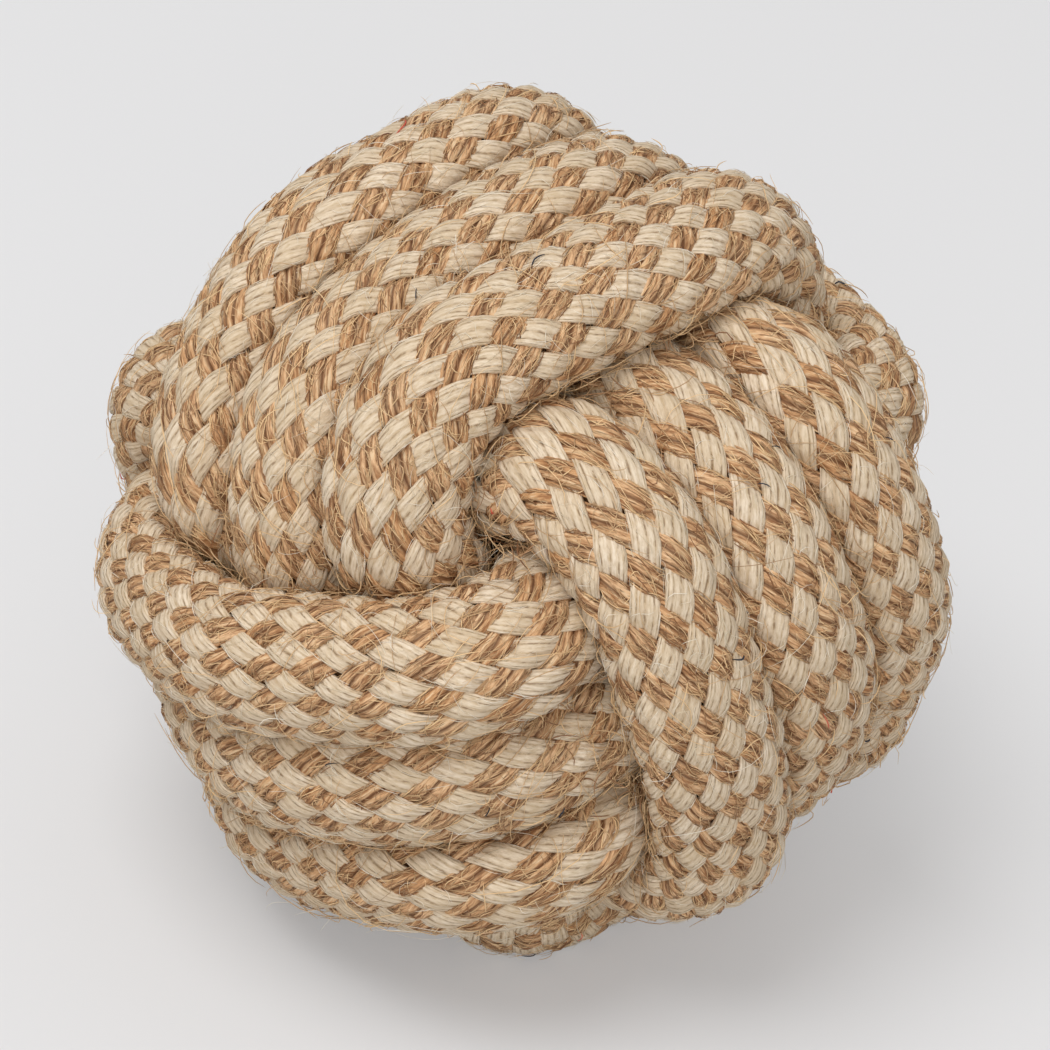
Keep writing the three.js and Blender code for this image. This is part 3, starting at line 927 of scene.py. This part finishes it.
# A table of matt white laminate: smooth and even, so that the ball's shadow lies plain on it
def add_table():
    half = TABLE_HALF
    corners = [(-half, -half, 0), (half, -half, 0), (half, half, 0), (-half, half, 0)]
    mesh = bpy.data.meshes.new("table")
    mesh.from_pydata(corners, [], [(0, 1, 2, 3)])
    table = bpy.data.objects.new("table", mesh)
    bpy.context.scene.collection.objects.link(table)
    material = new_material("matt_white_laminate")
    place = add_node(material, "ShaderNodeTexCoord").outputs["Object"]
    depth = add_node(material, "ShaderNodeSeparateXYZ", {"Vector": place}).outputs["Y"]
    # Painted shade: the table is a little darker towards the front, where the panels light it more
    colour = lay_colour(material, linear("#c5c5c6"), "#c7c7c8", depth, TABLE_SHADING)
    glow = add_node(material, "ShaderNodeMath", {
        0: background_ray(material), 1: TABLE_GLOW,
    }, operation="MULTIPLY")
    table.data.materials.append(finish(material, colour, 0.8, glow=glow.outputs[0]))


def add_panel(name, centre, away, width, watts):
    data = bpy.data.lights.new(name, "AREA")
    data.shape = "DISK"
    data.size = width
    data.energy = watts
    light = bpy.data.objects.new(name, data)
    light.location = centre + Vector(away)
    light.rotation_euler = (-Vector(away)).to_track_quat("-Z", "Y").to_euler()
    bpy.context.scene.collection.objects.link(light)


def add_camera(centre):
    angles = (CAMERA_ELEVATION, CAMERA_AZIMUTH, CAMERA_ROLL)
    elevation, azimuth, roll = (math.radians(angle) for angle in angles)
    level = math.cos(elevation)
    back = Vector((math.sin(azimuth) * level, -math.cos(azimuth) * level, math.sin(elevation)))
    level_right = Vector((0, 0, 1)).cross(back).normalized()
    level_up = back.cross(level_right)
    right = level_right * math.cos(roll) - level_up * math.sin(roll)
    up = level_up * math.cos(roll) + level_right * math.sin(roll)
    data = bpy.data.cameras.new("camera")
    data.sensor_width = SENSOR_WIDTH
    data.lens = FOCAL_PIXELS / IMAGE_PIXELS * SENSOR_WIDTH
    data.clip_start = CAMERA_NEAR
    camera = bpy.data.objects.new("camera", data)
    pixel = CAMERA_DISTANCE / FOCAL_PIXELS
    beside = right * (IMAGE_PIXELS / 2 - BALL_X_PIXEL) * pixel
    above = up * (BALL_Y_PIXEL - IMAGE_PIXELS / 2) * pixel
    camera.matrix_world = Matrix((right, up, back)).transposed().to_4x4()
    camera.location = centre + beside + above + back * CAMERA_DISTANCE
    bpy.context.scene.collection.objects.link(camera)
    bpy.context.scene.camera = camera


def set_world():
    world = bpy.data.worlds.new("studio")
    bpy.context.scene.world = world
    world.use_nodes = True
    strength = add_node(world, "ShaderNodeMapRange", {
        "Value": background_ray(world), "To Min": WORLD_STRENGTH, "To Max": SEEN_WORLD_STRENGTH,
    })
    background = world.node_tree.nodes["Background"]
    background.inputs["Color"].default_value = linear("#f7f6f5")
    world.node_tree.links.new(strength.outputs["Result"], background.inputs["Strength"])


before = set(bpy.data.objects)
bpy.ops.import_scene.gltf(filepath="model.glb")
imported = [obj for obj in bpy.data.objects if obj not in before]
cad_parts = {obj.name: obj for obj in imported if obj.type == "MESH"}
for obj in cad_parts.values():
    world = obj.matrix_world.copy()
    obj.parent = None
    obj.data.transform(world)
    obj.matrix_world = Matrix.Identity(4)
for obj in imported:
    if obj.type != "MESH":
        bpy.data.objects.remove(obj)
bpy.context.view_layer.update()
low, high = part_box("core_ball")
BALL_CENTRE = np.array((low + high) / 2)

rng = np.random.default_rng(SEED)
rope = RopeSurface(tight_route())
outlook = Outlook(rope)
pieces = []
seen = {}
for kind, material in ((COTTON, cotton_yarn_material()), (JUTE, jute_yarn_material())):
    cells = seen_cells(rope, outlook, kind, crossings(rope, kind))
    seen[kind["name"]] = cells
    pieces += add_bundles(kind, cells, rope, material, rng)
inner_yarn = add_inner_yarn(rope, inner_yarn_material())

golden = fibre_material("loose_jute_fibre", "#84532c", "#f5d2a0")
pale = fibre_material("loose_cotton_fibre", "#d8c8a8", "#fbf3e4")
dark = fibre_material("dark_lint_thread", "#15171f", "#2c3040")
red = fibre_material("red_lint_thread", "#c2452f", "#e0705a")
for name, kind, fibres, material in (
    ("jute_fibres", JUTE, LYING_JUTE, golden),
    ("cotton_fibres", COTTON, LYING_COTTON, pale),
    ("stray_jute_fibres", JUTE, STRAY_JUTE, golden),
    ("valley_jute_fibres", JUTE, VALLEY_JUTE, golden),
    ("gap_jute_fibres", JUTE, GAP_JUTE, golden),
    ("stray_cotton_fibres", COTTON, STRAY_COTTON, pale),
    ("dark_lint", JUTE, DARK_THREADS, dark),
    ("red_lint", JUTE, RED_FLECKS, red),
):
    cells = seen[kind["name"]]
    if "depths" in fibres:
        paths, normals = gap_fibres(outlook, fibres, rng)
    elif "per_cell" in fibres:
        paths, normals = lying_fibres(rope, kind, cells, fibres["per_cell"], rng)
    else:
        paths, normals = stray_fibres(rope, kind, cells, fibres, rng)
    radii = rng.uniform(*fibres["radii"], len(paths))
    tints = rng.uniform(*fibres["tints"], len(paths))
    for number, start in enumerate(range(0, len(paths), FIBRES_PER_PIECE), 1):
        part = slice(start, start + FIBRES_PER_PIECE)
        pieces.append(add_fibres(
            f"{name}_{number}", paths[part], normals[part], radii[part], tints[part], material,
        ))

for piece in pieces + [inner_yarn]:
    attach(piece, "root")
    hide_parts("rope_sheath", "rope_filler")

for node, material in (
    # The core ball's dark brown is partly painted shade: seen only through the gaps, it reads as their
    # shade
    ("core_ball", mottled_material("moulded_natural_rubber_painted_shade", "#6b4a30", "#7c5638", 4, 0.6, 0.05)),
    ("start_end_seal", mottled_material("glue_soaked_yarn_start", "#a98758", "#c4a06c", 1, 0.5, 0.2)),
    ("finish_end_seal", mottled_material("glue_soaked_yarn_finish", "#a98758", "#c4a06c", 1, 0.5, 0.2)),
):
    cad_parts[node].data.materials.clear()
    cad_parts[node].data.materials.append(material)

ball_middle = Vector(BALL_CENTRE)
add_table()
set_world()
for name, panel in PANELS.items():
    add_panel(name, ball_middle, **panel)
add_camera(ball_middle)
bpy.context.scene.view_settings.view_transform = "Standard"
